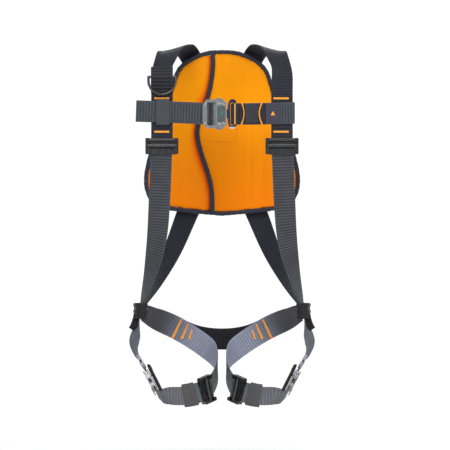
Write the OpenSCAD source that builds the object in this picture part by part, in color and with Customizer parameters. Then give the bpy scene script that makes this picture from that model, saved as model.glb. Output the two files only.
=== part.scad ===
// Full-body safety harness with a padded back panel, quick-release buckles and two hinged rings.
// Frame: +Z up, the chest faces -Y, origin on the trunk's axis level with the chest strap.

/* [Webbing] */
// Width of all webbing
strap_w = 45; // [40:1:50]
// Thickness of all webbing
strap_t = 2.4; // [1.8:0.1:3]

/* [Back pad] */
// Radius of the pad's curve around the back
pad_r = 520; // [400:10:800]
// Rear face of the pad behind the trunk's axis
pad_y = 102; // [90:1:110]
// Thickness of the rear panel
pad_rear_t = 6; // [4:0.5:10]
// Thickness of the left flap
flap_t = 8; // [5:0.5:12]
// Width of the sewn edge binding
binding_w = 9; // [6:0.5:12]

/* [Adjusters] */
// Overall width of a front adjuster across the strap
adj_w = 69; // [66:1:84]
// Overall width of a thigh adjuster across the strap
thigh_adj_w = 57; // [56:1:70]
// Length of an adjuster along the strap
adj_len = 42; // [36:1:50]
// Radius of the locking bar
bar_r = 3.5; // [2.5:0.1:4.5]
// Travel of the locking bar
bar_travel = 4; // [2:0.5:5]

/* [Quick-release buckles] */
// Length of a buckle body along the strap
buckle_l = 50; // [44:1:60]
// Width of a buckle body across the strap
buckle_w = 60; // [54:1:70]
// Gap between the two buckle plates
buckle_gap = 7.2; // [6:0.2:9]
// Thickness of a buckle plate
plate_t = 1.8; // [1.2:0.1:2.5]
// Travel of a release lever
lever_travel = 3; // [2:0.5:4]
// Radius of a rivet
rivet_r = 2.6; // [2:0.1:3.2]

/* [Rings] */
// Rod radius of the dorsal ring
dorsal_rod = 4.2; // [3.5:0.1:5]
// Half width of the dorsal ring
dorsal_half = 31; // [26:1:36]
// Rod radius of the shoulder ring
ring_rod = 2.8; // [2.4:0.1:4]
// Half width of the shoulder ring
ring_half = 28; // [24:1:32]
// Clearance around each ring's bar
ring_gap = 0.4; // [0.3:0.1:0.8]

/* [Hidden] */

ORANGE = [1, 0.58, 0.04];
NAVY = [0.16, 0.17, 0.22];
BLACK = [0.08, 0.08, 0.1];
STEEL = [0.72, 0.74, 0.76];

// Each route point: position, then the strap's width direction, whose length 1 is the full width.
MAIN = [
    [-125, -106, -56, 1, 0, 0], [-125, -102, -38, 1, 0, 0], [-125, -101, 0, 1, 0, 0],
    [-125, -98, 45, 1, 0, 0], [-125, -88, 82, 0.95, 0.2, 0], [-118, -64, 113, 0.64, 0.68, 0.2],
    [-105, -26, 130, 0.78, 0.5, 0.25], [-89, 22, 136, 0.92, 0.2, 0.3], [-77, 74, 133, 0.92, 0, 0.38],
    [-64, 105, 115, 0.88, 0, 0.42], [-45, 107, 75, 0.9, 0, 0.42], [-20, 108, 12, 0.92, 0, 0.38],
    [0, 108, -33, 0.93, 0, 0.37], [30, 107, -110, 0.93, 0, 0.37], [55, 105, -170, 0.92, -0.05, 0.4],
    [75, 102, -216, 0.92, -0.1, 0.4], [104, 84, -288, 0.76, -0.45, 0.36],
    [135, 52, -350, 0.45, -0.8, 0.25], [160, 20, -394, 0.15, -0.85, 0.1], [170, 4, -412, 0.05, -0.8, 0.02]
];
LOWER = [
    [-125, -104, -66, 1, 0, 0], [-127, -104, -110, 1, 0, 0], [-130, -100, -180, 1, 0, 0],
    [-134, -86, -245, 0.95, -0.2, 0], [-141, -68, -295, 0.8, -0.5, 0],
    [-155, -42, -352, 0.45, -0.85, 0], [-167, -16, -395, 0.2, -0.85, 0], [-173, -3, -413, 0.05, -0.8, 0]
];
SEAT = [
    [-171, 8, -420, 0.1, 0.5, 0.5], [-155, 48, -425, 0, 0.1, 0.85], [-110, 90, -447, 0, 0, 0.98],
    [-55, 110, -471, 0, 0, 1], [0, 116, -478, 0, 0, 1], [55, 110, -471, 0, 0, 1],
    [110, 90, -447, 0, 0, 0.98], [155, 48, -425, 0, 0.1, 0.85], [171, 8, -420, 0.1, 0.5, 0.5]
];
THIGH = [
    [-168, -2, -423, 0.2, 0.4, 0.5], [-150, 26, -430, 0.25, 0.2, 0.85], [-130, 48, -438, 0.3, 0.1, 1],
    [-98, 70, -453, 0.42, 0, 0.98], [-60, 80, -476, 0.45, 0.1, 0.93], [-29, 66, -499, 0.4, 0, 0.9],
    [-12, 38, -523, 0.1, -0.5, 0.85], [-12, 4, -551, -0.1, -0.55, 0.8], [-28, -34, -577, -0.15, -0.2, 0.92],
    [-54, -58, -588, -0.1, 0.1, 0.94], [-82, -70, -593, 0, 0.2, 0.86], [-108, -72, -593, 0.1, -0.2, 0.82],
    [-123, -66, -595, 0.1, -0.6, 0.6], [-133, -59, -591, 0, -0.92, 0.3], [-139, -54, -582, -0.1, -0.97, 0.2]
];
HIP = [
    [-174, -2, -424, 0.05, -0.75, 0], [-179, -6, -446, 0.25, -0.9, 0.1], [-183, -13, -474, 0.5, -0.85, 0.12],
    [-180, -22, -496, 0.3, -0.92, 0.15], [-174, -32, -512, 0, -0.97, 0.2], [-168, -37, -524, -0.1, -0.97, 0.2]
];
CHEST_L = [
    [-179, -105, 1, 0, 0, 1], [-150, -106.5, 0, 0, 0, 1], [-90, -106.5, -2, 0, 0, 1], [-22, -106.5, -5, 0, 0, 1]
];
CHEST_R = [
    [21, -107, -5, 0, 0, 1], [60, -107, -5, 0, 0, 1], [110, -106, -4, 0, 0, 1], [141, -105.5, -3, 0, 0, 1],
    [148.5, -104, -3, 0, 0, 1], [150.5, -101, -3, 0, 0, 1], [148.5, -98, -3, 0, 0, 1],
    [141, -96.8, -3, 0, 0, 1], [112, -96, -3, 0, 0, 1]
];
STERNAL = [
    [36, -109, -5, 0, 0, 1], [43, -112, -5, 0, 0, 0.95], [50, -117, -5, 0, 0, 0.7],
    [62, -118.5, -5, 0, 0, 0.62], [75, -117, -5, 0, 0, 0.7], [82, -112, -5, 0, 0, 0.95],
    [90, -108.6, -5, 0, 0, 1]
];
PAD_LINE = [
    [0, 134], [-25, 133], [-48, 127], [-69, 117], [-87, 104], [-98, 89], [-106, 68], [-115, 38],
    [-124, 5], [-135, -30], [-150, -70], [-161, -110], [-165, -140], [-162, -165], [-150, -188],
    [-122, -203], [-67, -211], [0, -217]
];
FLAP_LINE = [
    [-22, 140], [-19, 115], [-20, 90], [-25, 55], [-34, 22], [-46, -8], [-52, -35], [-50, -60],
    [-42, -90], [-32, -120], [-24, -150], [-21, -180], [-21, -225]
];

chest_at = [-15, -106.5, -5];
thigh_at = [-147, -49, -566];
thigh_dir = [-45, 25, 90];
thigh_wide = [0, 1, 0];
thigh_adj_at = [-32.4, -41.6, -580];
thigh_adj_dir = [26, 27, 11];
thigh_sleeve_at = [-68, -64.3, -590.8];
front_adj_at = [-125, -105.5, -71];
dorsal_at = [0, 120.5, -33];
ring_at = [-125, -107.5, 72];
gap_half = buckle_gap / 2;
window_l = 18;
rivet_x = buckle_l / 2 - 6;
rivet_y = buckle_w / 2 - 11;
nose_w = 20;

function unit(v) = v / norm(v);

function spline_at(a, b, c, d, t) =
    b + t / 2 * (c - a + t * (2 * a - 5 * b + 4 * c - d + t * (3 * (b - c) + d - a)));

function spline(p, n) = [
    for (i = [0 : len(p) - 2])
        for (k = [0 : n - 1])
            spline_at(p[max(i - 1, 0)], p[i], p[i + 1], p[min(i + 2, len(p) - 1)], k / n),
    p[len(p) - 1]
];

function xyz(v) = [v[0], v[1], v[2]];

function wide(v) = [v[3], v[4], v[5]];

function flip(p) = [for (i = [len(p) - 1 : -1 : 0]) [-p[i][0], p[i][1]]];

// A strap along a route, with four sides.
module ribbon(route, thick = strap_t, width = strap_w, n = 3) {
    s = spline(route, n);
    last = len(s) - 1;
    rings = [
        for (i = [0 : last])
            let (t = unit(xyz(s[min(i + 1, last)]) - xyz(s[max(i - 1, 0)])))
            let (w = wide(s[i]))
            let (a = norm(w) * width / 2 * unit(w - (w * t) * t))
            let (b = thick / 2 * unit(cross(t, a)))
            each [xyz(s[i]) - a - b, xyz(s[i]) + a - b, xyz(s[i]) + a + b, xyz(s[i]) - a + b]
    ];
    sides = [
        for (i = [0 : last - 1])
            for (j = [0 : 3])
                let (a = 4 * i + j)
                let (b = 4 * i + (j + 1) % 4)
                each [[a, b, b + 4], [a, b + 4, a + 4]]
    ];
    e = 4 * last;
    ends = [[0, 2, 1], [0, 3, 2], [e, e + 1, e + 2], [e, e + 2, e + 3]];
    polyhedron(points = rings, faces = concat(sides, ends));
}

// Puts a piece at c: its X along the strap, its Y across it, its Z out of the face.
module place(c, along, across) {
    x = unit(along);
    z = unit(cross(along, across));
    y = cross(z, x);
    multmatrix([
        [x[0], y[0], z[0], c[0]],
        [x[1], y[1], z[1], c[1]],
        [x[2], y[2], z[2], c[2]],
        [0, 0, 0, 1]
    ])
        children();
}

module flipped() {
    mirror([1, 0, 0])
        children();
}

module slab(shape_z0, thick) {
    translate([0, 0, shape_z0])
        linear_extrude(thick)
            children();
}

module rounded(l, w, r) {
    offset(r = r, $fn = 24)
        square([l - 2 * r, w - 2 * r], center = true);
}

module rod(r, l) {
    rotate([90, 0, 0])
        cylinder(h = l, r = r, center = true, $fn = 48);
}

// --- Back pad ---

module pad_shape() {
    polygon(concat(spline(PAD_LINE, 4), flip(spline(PAD_LINE, 4))));
}

module flap_side(from) {
    polygon(concat(spline(FLAP_LINE, 4), [[from, -240], [from, 160]]));
}

// The part of a flat shape, seen from the front, between two curved faces of the pad.
module curved(near, far) {
    intersection() {
        rotate([90, 0, 0])
            translate([0, 0, -200])
                linear_extrude(200)
                    children();
        translate([0, pad_y - pad_r, -250])
            difference() {
                cylinder(h = 450, r = pad_r - near, $fn = 96);
                translate([0, 0, -1])
                    cylinder(h = 452, r = pad_r - far, $fn = 96);
            }
    }
}

module pad_rear_panel() {
    color(NAVY)
        curved(0, pad_rear_t)
            offset(delta = -binding_w)
                pad_shape();
}

module pad_left_flap() {
    color(ORANGE)
        curved(pad_rear_t + 0.2, pad_rear_t + flap_t)
            intersection() {
                offset(delta = -binding_w)
                    pad_shape();
                offset(delta = -0.2)
                    flap_side(-200);
            }
}

module pad_right_flap() {
    color(ORANGE)
        curved(pad_rear_t + 0.2, pad_rear_t + flap_t + 2)
            difference() {
                offset(delta = -binding_w)
                    pad_shape();
                offset(delta = 0.2)
                    flap_side(-200);
            }
}

module pad_binding() {
    color(NAVY)
        curved(-1.5, pad_rear_t + flap_t + 3)
            difference() {
                pad_shape();
                offset(delta = 0.2 - binding_w)
                    pad_shape();
            }
}

module flap_binding() {
    color(NAVY)
        curved(pad_rear_t + flap_t + 2.2, pad_rear_t + flap_t + 5)
            intersection() {
                offset(delta = -binding_w)
                    pad_shape();
                difference() {
                    offset(delta = 4.5)
                        flap_side(-200);
                    offset(delta = -4.5)
                        flap_side(-200);
                }
            }
}

// --- Straps of the trunk ---

module main_strap_left() {
    color(NAVY)
        ribbon(MAIN);
}

module main_strap_right() {
    color(NAVY)
        flipped()
            ribbon([for (p = MAIN) p + [0, p[1] > 95 ? 3 : 0, 0, 0, 0, 0]]);
}

module lower_strap_left() {
    color(NAVY)
        ribbon(LOWER);
}

module lower_strap_right() {
    color(NAVY)
        flipped()
            ribbon(LOWER);
}

module seat_strap() {
    color(BLACK)
        ribbon(SEAT);
}

// --- Rings ---

// A closed ring with a straight bar along X, hanging below it.
module d_ring(rod_r, half, leg) {
    rotate([0, 90, 0])
        cylinder(h = 2 * half, r = rod_r, center = true, $fn = 48);
    for (s = [-1, 1])
        translate([s * half, 0, 0]) {
            sphere(r = rod_r, $fn = 48);
            translate([0, 0, -leg])
                cylinder(h = leg, r = rod_r, $fn = 48);
        }
    translate([0, 0, -leg])
        rotate([90, 0, 0])
            rotate([0, 0, 180])
                rotate_extrude(angle = 180, $fn = 96)
                    translate([half, 0])
                        circle(r = rod_r, $fn = 48);
}

module dorsal_ring() {
    color(STEEL)
        translate(dorsal_at)
            d_ring(dorsal_rod, dorsal_half, 34);
}

module dorsal_plate() {
    color(BLACK)
        difference() {
            translate(dorsal_at + [0, -5, 0])
                rotate([90, 0, 0]) {
                    linear_extrude(3.5)
                        difference() {
                            rounded(84, 72, 10);
                            for (a = [-1, 1])
                                for (b = [-1, 1])
                                    translate([a * 27, b * 21])
                                        rotate(-a * b * 68)
                                            rounded(24, 5, 2);
                        }
                    translate([0, 0, -11])
                        linear_extrude(11.5)
                            rounded(28, 15, 3);
                }
            translate(dorsal_at)
                rotate([0, 90, 0])
                    cylinder(h = 60, r = dorsal_rod + ring_gap, center = true, $fn = 48);
        }
}

module shoulder_ring() {
    color(BLACK)
        translate(ring_at)
            d_ring(ring_rod, ring_half, 8);
}

module ring_keeper() {
    color(BLACK)
        difference() {
            translate(ring_at)
                rotate([90, 0, 0]) {
                    slab(-4.5, 9.5)
                        rounded(46, 13, 3);
                    translate([0, 5, 0])
                        slab(-8, 4.5)
                            rounded(46, 38, 3);
                }
            translate(ring_at)
                rotate([0, 90, 0])
                    cylinder(h = 60, r = ring_rod + ring_gap, center = true, $fn = 48);
        }
}

// --- Adjusters ---

module adjuster(w) {
    cheek = w / 2 - 4;
    difference() {
        union() {
            for (s = [-1, 1])
                translate([-1, s * cheek, 0])
                    slab(-4, 12.5)
                        rounded(adj_len - 8, 8, 2.5);
            translate([adj_len / 2 - 9, 0, 1.5])
                rod(3.4, w - 10);
            translate([-adj_len / 2 + 8, 0, 0])
                slab(-0.6, 5.6)
                    rounded(11, w - 8, 2.5);
            translate([-1, 0, 0])
                slab(-4, 1.1)
                    rounded(adj_len - 8, w - 6, 3);
        }
        translate([bar_travel / 2, 0, 4.8])
            cube([2 * bar_r + bar_travel + 1, w - 6, 2 * bar_r + 1], center = true);
    }
}

module locking_bar(w) {
    translate([0, 0, 4.8])
        rod(bar_r, w - 7);
}

module front_adjuster_left() {
    color(BLACK)
        place(front_adj_at, [0, 0, 1], [-1, 0, 0])
            adjuster(adj_w);
}

module front_adjuster_right() {
    flipped()
        front_adjuster_left();
}

module front_bar_left() {
    color(BLACK)
        place(front_adj_at, [0, 0, 1], [-1, 0, 0])
            locking_bar(adj_w);
}

module front_bar_right() {
    flipped()
        front_bar_left();
}

module thigh_adjuster_left() {
    color(BLACK)
        place(thigh_adj_at, thigh_adj_dir, [0, 0, 1])
            adjuster(thigh_adj_w);
}

module thigh_adjuster_right() {
    flipped()
        thigh_adjuster_left();
}

module thigh_bar_left() {
    color(BLACK)
        place(thigh_adj_at, thigh_adj_dir, [0, 0, 1])
            locking_bar(thigh_adj_w);
}

module thigh_bar_right() {
    flipped()
        thigh_bar_left();
}

// --- Chest ---

module chest_strap_left() {
    color(NAVY)
        ribbon(CHEST_L);
}

module chest_strap_right() {
    color(NAVY)
        ribbon(CHEST_R);
}

module chest_sleeve() {
    color(NAVY)
        translate([-123, -106, -1.5])
            difference() {
                cube([28, 8, strap_w + 9], center = true);
                translate([0, -0.6, 0])
                    cube([30, strap_t + 1.4, strap_w + 5], center = true);
            }
}

module chest_label() {
    color(BLACK)
        translate([106, -108.2, -4])
            cube([30, 1, 40], center = true);
}

module sternal_loop() {
    color(NAVY)
        ribbon(STERNAL);
}

module sternal_slider() {
    color(BLACK)
        translate([62, -118.2, -5])
            difference() {
                cube([26, 6.6, 36], center = true);
                cube([28, 4, 32.6], center = true);
            }
}

// --- Quick-release buckles, with the tongue towards +X ---

module buckle_outline() {
    offset(r = 3, $fn = 24)
        polygon([
            [-buckle_l / 2 + 3, -buckle_w / 2 + 12],
            [-buckle_l / 2 + 9, -buckle_w / 2 + 3],
            [buckle_l / 2 - 9, -buckle_w / 2 + 3],
            [buckle_l / 2 - 3, -buckle_w / 2 + 8],
            [buckle_l / 2 - 3, buckle_w / 2 - 8],
            [buckle_l / 2 - 9, buckle_w / 2 - 3],
            [-buckle_l / 2 + 9, buckle_w / 2 - 3],
            [-buckle_l / 2 + 3, buckle_w / 2 - 12]
        ]);
}

module buckle_base() {
    slab(-gap_half - plate_t, plate_t)
        buckle_outline();
    for (s = [-1, 1])
        translate([-10, s * (buckle_w / 2 - 3.2), 0])
            slab(-gap_half - 0.1, buckle_gap - 0.2)
                rounded(8, 4.6, 2);
}

module buckle_cover() {
    slab(gap_half, plate_t)
        difference() {
            buckle_outline();
            translate([-6.5, 0])
                rounded(window_l, strap_w + 3, 2);
        }
}

module buckle_roller() {
    translate([-6.5, 0, 0.3])
        rod(3.1, strap_w + 6);
}

module buckle_rivets() {
    for (a = [-1, 1])
        for (b = [-1, 1])
            translate([a * rivet_x, b * rivet_y, 0]) {
                bottom = a < 0 ? gap_half : -gap_half - plate_t - 0.8;
                translate([0, 0, bottom])
                    cylinder(h = gap_half + plate_t + 0.8 - bottom, r = rivet_r, $fn = 32);
                translate([0, 0, gap_half + plate_t])
                    cylinder(h = 1.4, r1 = rivet_r + 1, r2 = rivet_r, $fn = 32);
            }
}

module buckle_lever(side) {
    translate([0, side * (buckle_w / 2 - 5), 0])
        slab(-gap_half + 0.4, buckle_gap - 0.8) {
            translate([9, side * 2])
                rounded(13, 12, 2.5);
            translate([8, -side * 6])
                rounded(6, 9, 1.5);
        }
}

module buckle_tongue() {
    slab(-1.5, 3) {
        translate([16, 0])
            rounded(26, nose_w, 4);
        difference() {
            hull() {
                translate([31, 0])
                    rounded(8, 2 * nose_w, 3);
                translate([37, 0])
                    rounded(16, buckle_w + 2, 7.9);
            }
            translate([36, 0])
                rounded(7, strap_w + 2, 2);
        }
    }
}

module chest_place() {
    place(chest_at, [1, 0, 0], [0, 0, 1])
        children();
}

module chest_base() {
    color(STEEL)
        chest_place()
            buckle_base();
}

module chest_cover() {
    color(STEEL)
        chest_place()
            buckle_cover();
}

module chest_roller() {
    color(BLACK)
        chest_place()
            buckle_roller();
}

module chest_rivets() {
    color(STEEL)
        chest_place()
            buckle_rivets();
}

module chest_lever_upper() {
    color(STEEL)
        chest_place()
            buckle_lever(1);
}

module chest_lever_lower() {
    color(STEEL)
        chest_place()
            buckle_lever(-1);
}

module chest_tongue() {
    color(STEEL)
        chest_place()
            buckle_tongue();
}

// --- Hips and thighs ---

module hip_link_left() {
    color(BLACK)
        place([-171, 0, -417], [0, 0, 1], thigh_wide)
            slab(-3, 6)
                difference() {
                    rounded(34, 56, 5);
                    for (s = [-1, 1])
                        translate([s * 7, 0])
                            rounded(6, 42, 2.5);
                }
}

module hip_link_right() {
    flipped()
        hip_link_left();
}

module thigh_strap_left() {
    color(NAVY)
        ribbon(THIGH);
}

module thigh_strap_right() {
    flipped()
        thigh_strap_left();
}

module thigh_sleeve_left() {
    color(BLACK)
        place(thigh_sleeve_at, [28, 12, 5], [-0.05, 0.15, 0.9])
            difference() {
                cube([27, strap_w + 4, 7.6], center = true);
                cube([29, strap_w + 1, 5], center = true);
            }
}

module thigh_sleeve_right() {
    flipped()
        thigh_sleeve_left();
}

module hip_strap_left() {
    color(NAVY)
        ribbon(HIP);
}

module hip_strap_right() {
    flipped()
        hip_strap_left();
}

module thigh_place() {
    place(thigh_at, thigh_dir, thigh_wide)
        children();
}

module thigh_base_left() {
    color(STEEL)
        thigh_place()
            buckle_base();
}

module thigh_base_right() {
    flipped()
        thigh_base_left();
}

module thigh_cover_left() {
    color(STEEL)
        thigh_place()
            buckle_cover();
}

module thigh_cover_right() {
    flipped()
        thigh_cover_left();
}

module thigh_roller_left() {
    color(BLACK)
        thigh_place()
            buckle_roller();
}

module thigh_roller_right() {
    flipped()
        thigh_roller_left();
}

module thigh_rivets_left() {
    color(STEEL)
        thigh_place()
            buckle_rivets();
}

module thigh_rivets_right() {
    flipped()
        thigh_rivets_left();
}

module thigh_lever_front_left() {
    color(STEEL)
        thigh_place()
            buckle_lever(-1);
}

module thigh_lever_rear_left() {
    color(STEEL)
        thigh_place()
            buckle_lever(1);
}

module thigh_lever_front_right() {
    flipped()
        thigh_lever_front_left();
}

module thigh_lever_rear_right() {
    flipped()
        thigh_lever_rear_left();
}

module thigh_tongue_left() {
    color(STEEL)
        thigh_place()
            buckle_tongue();
}

module thigh_tongue_right() {
    flipped()
        thigh_tongue_left();
}

module thigh_guard_left() {
    color(BLACK)
        thigh_place()
            translate([2, 0, 0])
                slab(-14, 7)
                    rounded(62, 50, 8);
}

module thigh_guard_right() {
    flipped()
        thigh_guard_left();
}

pad_rear_panel();
pad_left_flap();
pad_right_flap();
pad_binding();
flap_binding();
main_strap_left();
main_strap_right();
lower_strap_left();
lower_strap_right();
dorsal_plate();
dorsal_ring();
shoulder_ring();
ring_keeper();
front_adjuster_left();
front_adjuster_right();
front_bar_left();
front_bar_right();
chest_strap_left();
chest_sleeve();
chest_strap_right();
chest_label();
sternal_loop();
sternal_slider();
chest_base();
chest_cover();
chest_roller();
chest_rivets();
chest_lever_upper();
chest_lever_lower();
chest_tongue();
hip_link_left();
hip_link_right();
seat_strap();
thigh_strap_left();
thigh_strap_right();
thigh_sleeve_left();
thigh_sleeve_right();
thigh_adjuster_left();
thigh_adjuster_right();
thigh_bar_left();
thigh_bar_right();
thigh_base_left();
thigh_base_right();
thigh_cover_left();
thigh_cover_right();
thigh_roller_left();
thigh_roller_right();
thigh_rivets_left();
thigh_rivets_right();
thigh_lever_front_left();
thigh_lever_rear_left();
thigh_lever_front_right();
thigh_lever_rear_right();
thigh_tongue_left();
thigh_tongue_right();
hip_strap_left();
hip_strap_right();
thigh_guard_left();
thigh_guard_right();
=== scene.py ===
"""Looks of a full-body safety harness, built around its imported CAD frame."""
import math

import bmesh
import bpy
import numpy as np
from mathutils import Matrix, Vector
from mathutils.bvhtree import BVHTree
from mathutils.geometry import delaunay_2d_cdt


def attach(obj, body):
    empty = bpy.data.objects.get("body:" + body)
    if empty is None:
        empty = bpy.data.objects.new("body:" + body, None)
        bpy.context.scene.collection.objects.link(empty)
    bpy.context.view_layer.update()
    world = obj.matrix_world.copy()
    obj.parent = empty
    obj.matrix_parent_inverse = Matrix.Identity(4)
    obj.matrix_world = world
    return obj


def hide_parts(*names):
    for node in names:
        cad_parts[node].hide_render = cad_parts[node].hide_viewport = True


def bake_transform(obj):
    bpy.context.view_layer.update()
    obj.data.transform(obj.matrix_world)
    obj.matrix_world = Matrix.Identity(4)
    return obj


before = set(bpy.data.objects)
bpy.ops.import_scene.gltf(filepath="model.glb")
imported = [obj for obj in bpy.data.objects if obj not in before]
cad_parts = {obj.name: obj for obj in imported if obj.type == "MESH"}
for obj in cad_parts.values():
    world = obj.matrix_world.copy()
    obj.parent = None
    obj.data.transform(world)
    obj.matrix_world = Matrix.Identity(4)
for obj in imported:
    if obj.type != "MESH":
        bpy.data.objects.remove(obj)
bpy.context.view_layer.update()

MM = 0.001
scene = bpy.context.scene
SIDES = (("left", 1), ("right", -1))
RNG = np.random.default_rng(7)

# --- camera, light and floor

CAMERA_DISTANCE = 12.0
FIELD = 0.945
CENTRE = (0.0063, -0.23625)


def look_at(obj, target):
    obj.rotation_euler = (Vector(target) - obj.location).to_track_quat("-Z", "Y").to_euler()


def add_camera():
    data = bpy.data.cameras.new("camera")
    data.sensor_width = 36
    data.lens = 36 * CAMERA_DISTANCE / FIELD
    data.clip_end = 60
    camera = bpy.data.objects.new("camera", data)
    camera.location = (CENTRE[0], -CAMERA_DISTANCE, CENTRE[1])
    camera.rotation_euler = (math.pi / 2, 0, 0)
    scene.collection.objects.link(camera)
    scene.camera = camera


def add_area(name, place, target, width, height, power):
    data = bpy.data.lights.new(name, "AREA")
    data.shape = "RECTANGLE"
    data.size, data.size_y, data.energy = width, height, power
    lamp = bpy.data.objects.new(name, data)
    lamp.location = place
    look_at(lamp, target)
    scene.collection.objects.link(lamp)


def add_world():
    world = bpy.data.worlds.new("studio")
    scene.world = world
    world.use_nodes = True
    nodes, links = world.node_tree.nodes, world.node_tree.links
    where = nodes.new("ShaderNodeTexCoord")
    parts = nodes.new("ShaderNodeSeparateXYZ")
    ramp = nodes.new("ShaderNodeMapRange")
    for socket, value in (("From Min", -0.35), ("From Max", 0.6), ("To Min", 0.42), ("To Max", 1.05)):
        ramp.inputs[socket].default_value = value
    links.new(where.outputs["Generated"], parts.inputs[0])
    links.new(parts.outputs["Y"], ramp.inputs["Value"])
    back = nodes["Background"]
    back.inputs["Color"].default_value = (1, 1, 1, 1)
    links.new(ramp.outputs[0], back.inputs["Strength"])


def add_studio():
    scene.view_settings.view_transform = "Standard"
    add_camera()
    add_world()
    middle = (0, 0, -0.25)
    add_area("key", (-0.9, -2.8, 1.4), middle, 1.4, 1.6, 40)
    add_area("fill", (1.7, -2.4, 0.5), middle, 0.7, 2.2, 26)
    add_area("top", (0.1, -0.5, 2.2), middle, 1.6, 1.0, 18)
    add_area("rim", (0.6, 2.4, 1.2), middle, 2.0, 1.2, 26)


# --- materials


class Shader:
    """A material's node tree, built by short calls that take sockets, numbers or tuples."""

    def __init__(self, name, **sockets):
        self.material = bpy.data.materials.new(name)
        self.material.use_nodes = True
        self.tree = self.material.node_tree
        self.surface = self.tree.nodes["Principled BSDF"]
        self.set(**sockets)

    def set(self, **sockets):
        for key, value in sockets.items():
            self.feed(self.surface.inputs[key.replace("_", " ")], value)

    def feed(self, socket, value):
        if isinstance(value, bpy.types.NodeSocket):
            self.tree.links.new(value, socket)
        elif isinstance(value, tuple) and socket.type == "RGBA":
            socket.default_value = (*value[:3], 1)
        else:
            socket.default_value = value

    def node(self, kind, inputs, output=0, **settings):
        made = self.tree.nodes.new(kind)
        for key, value in settings.items():
            setattr(made, key, value)
        for key, value in inputs.items():
            self.feed(made.inputs[key], value)
        return made.outputs[output]

    def math(self, operation, a, b=0.0):
        return self.node("ShaderNodeMath", {0: a, 1: b}, operation=operation)

    def times(self, a, b):
        return self.math("MULTIPLY", a, b)

    def plus(self, a, b):
        return self.math("ADD", a, b)

    def wave(self, value, pitch, power=1.0):
        """0 to 1 and back, once every pitch."""
        turn = self.math("COSINE", self.math("MULTIPLY", value, 2 * math.pi / pitch))
        up = self.math("MULTIPLY_ADD", turn, 0.5)
        up.node.inputs[2].default_value = 0.5
        return self.math("POWER", up, power)

    def mix(self, share, a, b):
        return self.node(
            "ShaderNodeMix", {0: share, 6: a, 7: b}, output=2, data_type="RGBA"
        )

    def span(self, value, low, high, to_low=0.0, to_high=1.0):
        return self.node(
            "ShaderNodeMapRange",
            {"Value": value, 1: low, 2: high, 3: to_low, 4: to_high},
            interpolation_type="SMOOTHSTEP",
        )

    def noise(self, vector, scale, detail=3.0):
        return self.node("ShaderNodeTexNoise", {"Vector": vector, "Scale": scale, "Detail": detail})

    def here(self):
        return self.node("ShaderNodeTexCoord", {}, output="Object")

    def stretched(self, vector, scale):
        return self.node("ShaderNodeVectorMath", {0: vector, 1: scale}, operation="MULTIPLY")

    def split(self, vector):
        return self.node("ShaderNodeSeparateXYZ", {0: vector}).node.outputs

    def attribute(self, name, output="Vector"):
        return self.node("ShaderNodeAttribute", {}, output=output, attribute_name=name)

    def matt(self, cloud, low, high):
        """Roughness that drifts from low to high with a noise."""
        self.set(Roughness=self.span(cloud, 0.3, 0.7, low, high))

    def bump(self, height, strength, distance):
        self.set(Normal=self.node(
            "ShaderNodeBump", {"Height": height, "Strength": strength, "Distance": distance}
        ))


def webbing(name, dark, light, pitch=6.0, twill=False, tint=None, reverse=None):
    """Woven tape. tint = (from u, to u, dark, light) fades to other colours along it;
    reverse = (black, (dark, light)) of its other face: the black is painted shade between the legs, giving
    way to dark and light past the crotch."""
    s = Shader(name, Sheen_Weight=0.04, Sheen_Roughness=0.4, Specular_IOR_Level=0.22)
    u, v, face = s.split(s.attribute("weave"))
    # painted shade and highlight on the ribs: lighter crests and darker grooves, in step with the ridges
    # tape() raises when both use one pitch; the finer weave and the slubs are the tape's own tone
    rib = s.wave(u, pitch * MM, 0.8)
    across = s.plus(u, v) if twill else v
    fine = s.times(s.wave(u, 1.0 * MM), s.wave(across, (2.4 if twill else 1.5) * MM))
    slub = s.noise(s.stretched(s.attribute("weave"), (160, 900, 1)), 1.0)
    share = s.plus(s.times(rib, 0.5), s.times(fine, 0.3))
    share = s.plus(share, s.times(s.math("SUBTRACT", slub, 0.5), 0.5))
    if twill:
        share = s.plus(share, s.times(s.wave(s.plus(u, v), 4.4 * MM, 0.7), 0.35))
    low, high = dark, light
    if tint:
        start, end, tint_dark, tint_light = tint
        there = s.span(u, start * MM, end * MM)
        low, high = s.mix(there, dark, tint_dark), s.mix(there, light, tint_light)
    if reverse:
        # painted shade: the other face is black where it lies in shade between the legs, and turns to its own
        # colours past the crotch
        back = s.span(face, -0.2, 0.2)
        black, (dull, bright) = reverse
        past = s.span(u, 240 * MM, 300 * MM)
        low = s.mix(back, s.mix(past, black, dull), low)
        high = s.mix(back, s.mix(past, black, bright), high)
    patch = s.span(s.noise(s.attribute("weave"), 30.0), 0.3, 0.7, 0.8, 1.15)
    colour = s.mix(s.times(share, patch), low, high)
    edge = s.span(s.math("ABSOLUTE", v), 19.5 * MM, 21.5 * MM)
    s.set(Base_Color=s.mix(s.times(edge, 0.35), colour, high))
    s.set(Roughness=s.span(slub, 0.2, 0.8, 0.5, 0.75))
    s.bump(s.plus(fine, s.times(slub, 0.6)), 0.5, 0.0003)
    return s.material


def smooth_fabric(name, dark, light, pitch=0.9, sheen=0.06):
    s = Shader(name, Sheen_Weight=sheen, Sheen_Roughness=0.35, Specular_IOR_Level=0.25)
    x, y, z = s.split(s.here())
    cross = s.times(s.wave(s.plus(x, y), pitch * MM), s.wave(z, pitch * MM))
    cloud = s.noise(s.here(), 60.0)
    share = s.plus(s.times(cross, 0.4), s.times(cloud, 0.6))
    s.set(Base_Color=s.mix(share, dark, light), Roughness=s.span(cloud, 0.3, 0.7, 0.55, 0.8))
    s.bump(s.plus(cross, cloud), 0.4, 0.0002)
    return s.material


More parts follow.
